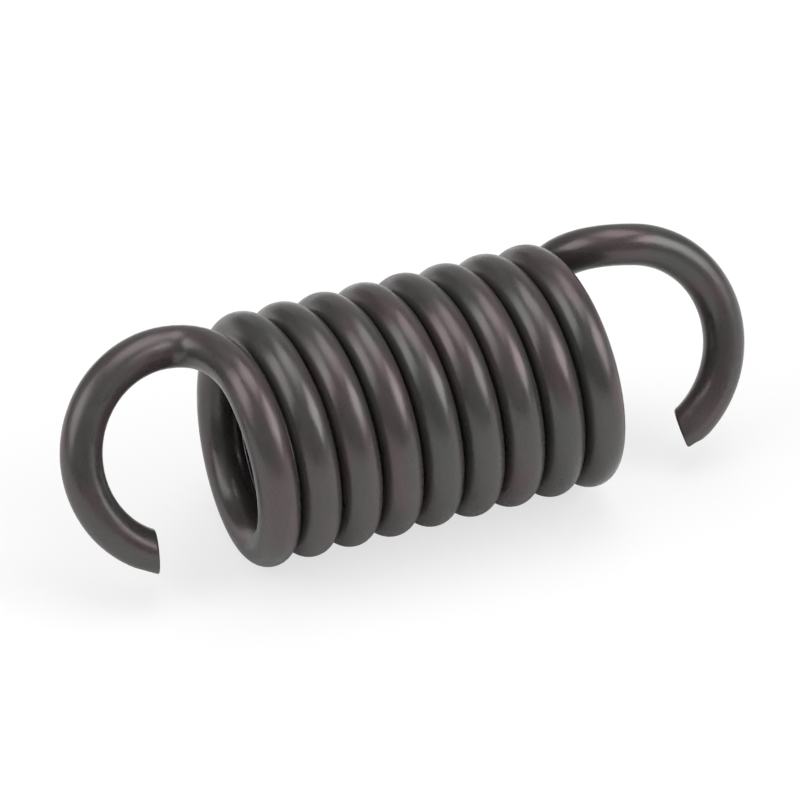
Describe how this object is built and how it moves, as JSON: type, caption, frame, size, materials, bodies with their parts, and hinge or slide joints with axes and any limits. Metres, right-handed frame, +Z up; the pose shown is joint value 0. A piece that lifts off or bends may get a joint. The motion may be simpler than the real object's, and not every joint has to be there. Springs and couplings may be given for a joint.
{
  "type": "extension spring",
  "caption": "Close-wound extension spring of dark round steel wire with an open loop at each end, which pulls two parts together.",
  "frame": {"origin": "under the middle of the spring's whole length, on the lowest line of the coil", "axes": "+X along the coil's axis towards the right loop, +Z up as the spring lies, -Y the front; the loops lean 25 degrees to the back, so that their cut ends are at the lower front"},
  "size_m": [0.0292, 0.01, 0.01],
  "materials": {
    "spring_wire": "oil-tempered spring steel with a dark brown-black oxide skin, satin, drawing lines along the wire"
  },
  "bodies": {
    "root": {"spring": "spring_wire"}
  },
  "joints": []
}
